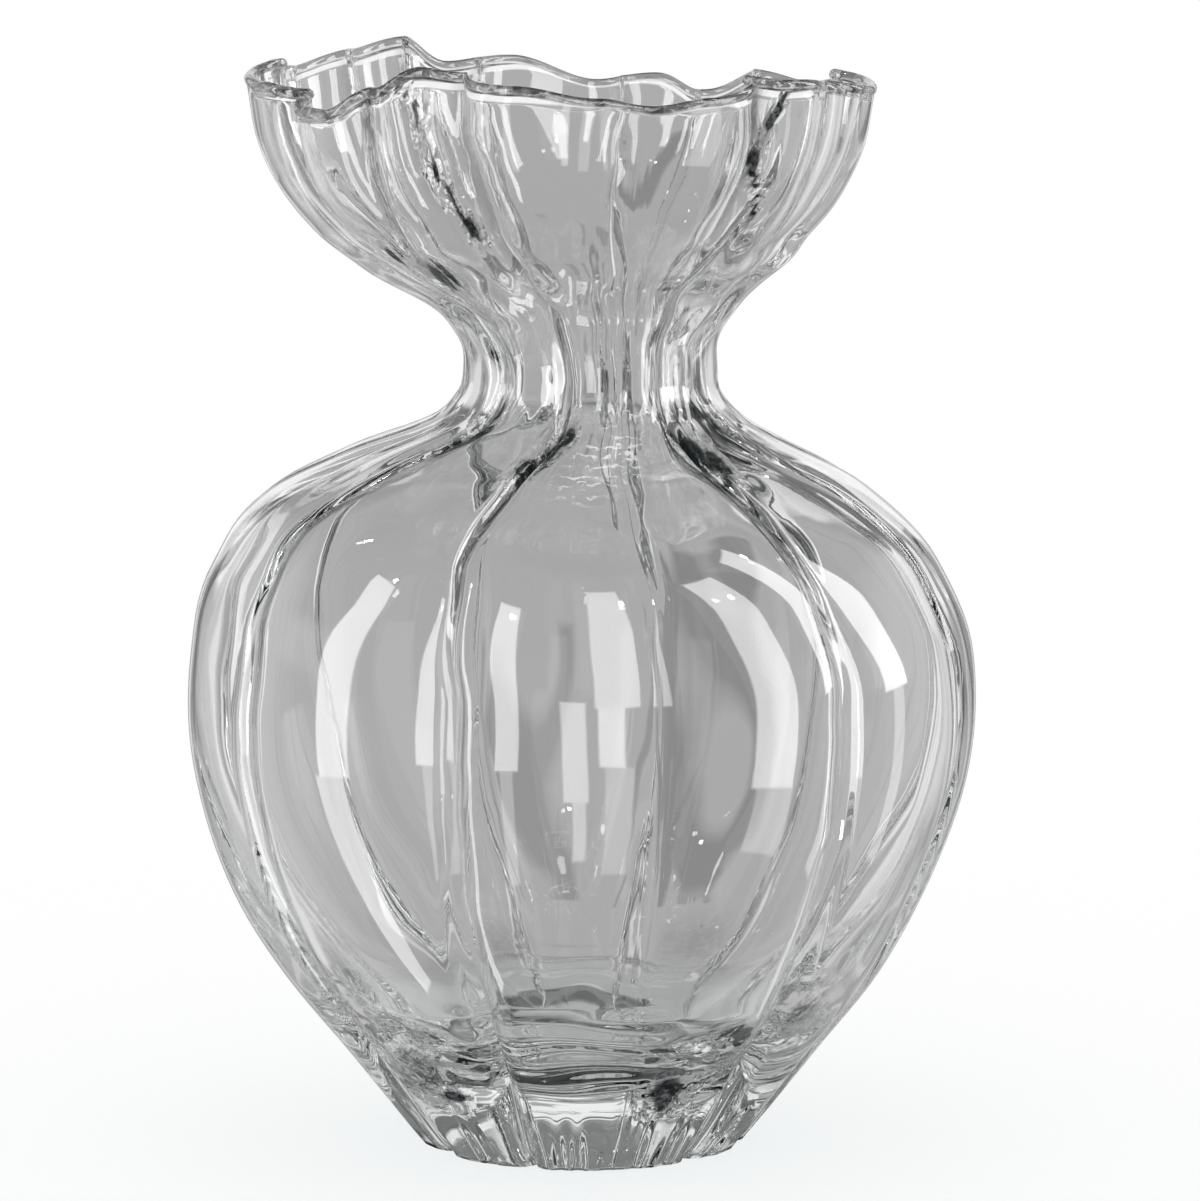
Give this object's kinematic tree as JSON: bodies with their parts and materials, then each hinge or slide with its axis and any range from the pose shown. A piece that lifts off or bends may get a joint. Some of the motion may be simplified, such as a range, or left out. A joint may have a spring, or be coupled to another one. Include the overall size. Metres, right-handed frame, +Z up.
{
  "type": "vase",
  "caption": "Clear blown-glass vase with a solid lobed foot, a wide ribbed belly, a pinched neck and a flared, pleated collar with a ruffled rim.",
  "frame": {"origin": "centre of the flat standing face under the foot, on the belly's middle line", "axes": "+Z up through the neck and the mouth, -Y towards the side that the picture shows, +X to that view's right"},
  "size_m": [0.2003, 0.2007, 0.2782],
  "materials": {
    "clear_glass": "gloss"
  },
  "bodies": {
    "root": {"foot": "clear_glass", "belly": "clear_glass", "shoulder": "clear_glass", "neck": "clear_glass", "throat": "clear_glass", "collar": "clear_glass", "rim": "clear_glass"}
  },
  "joints": []
}
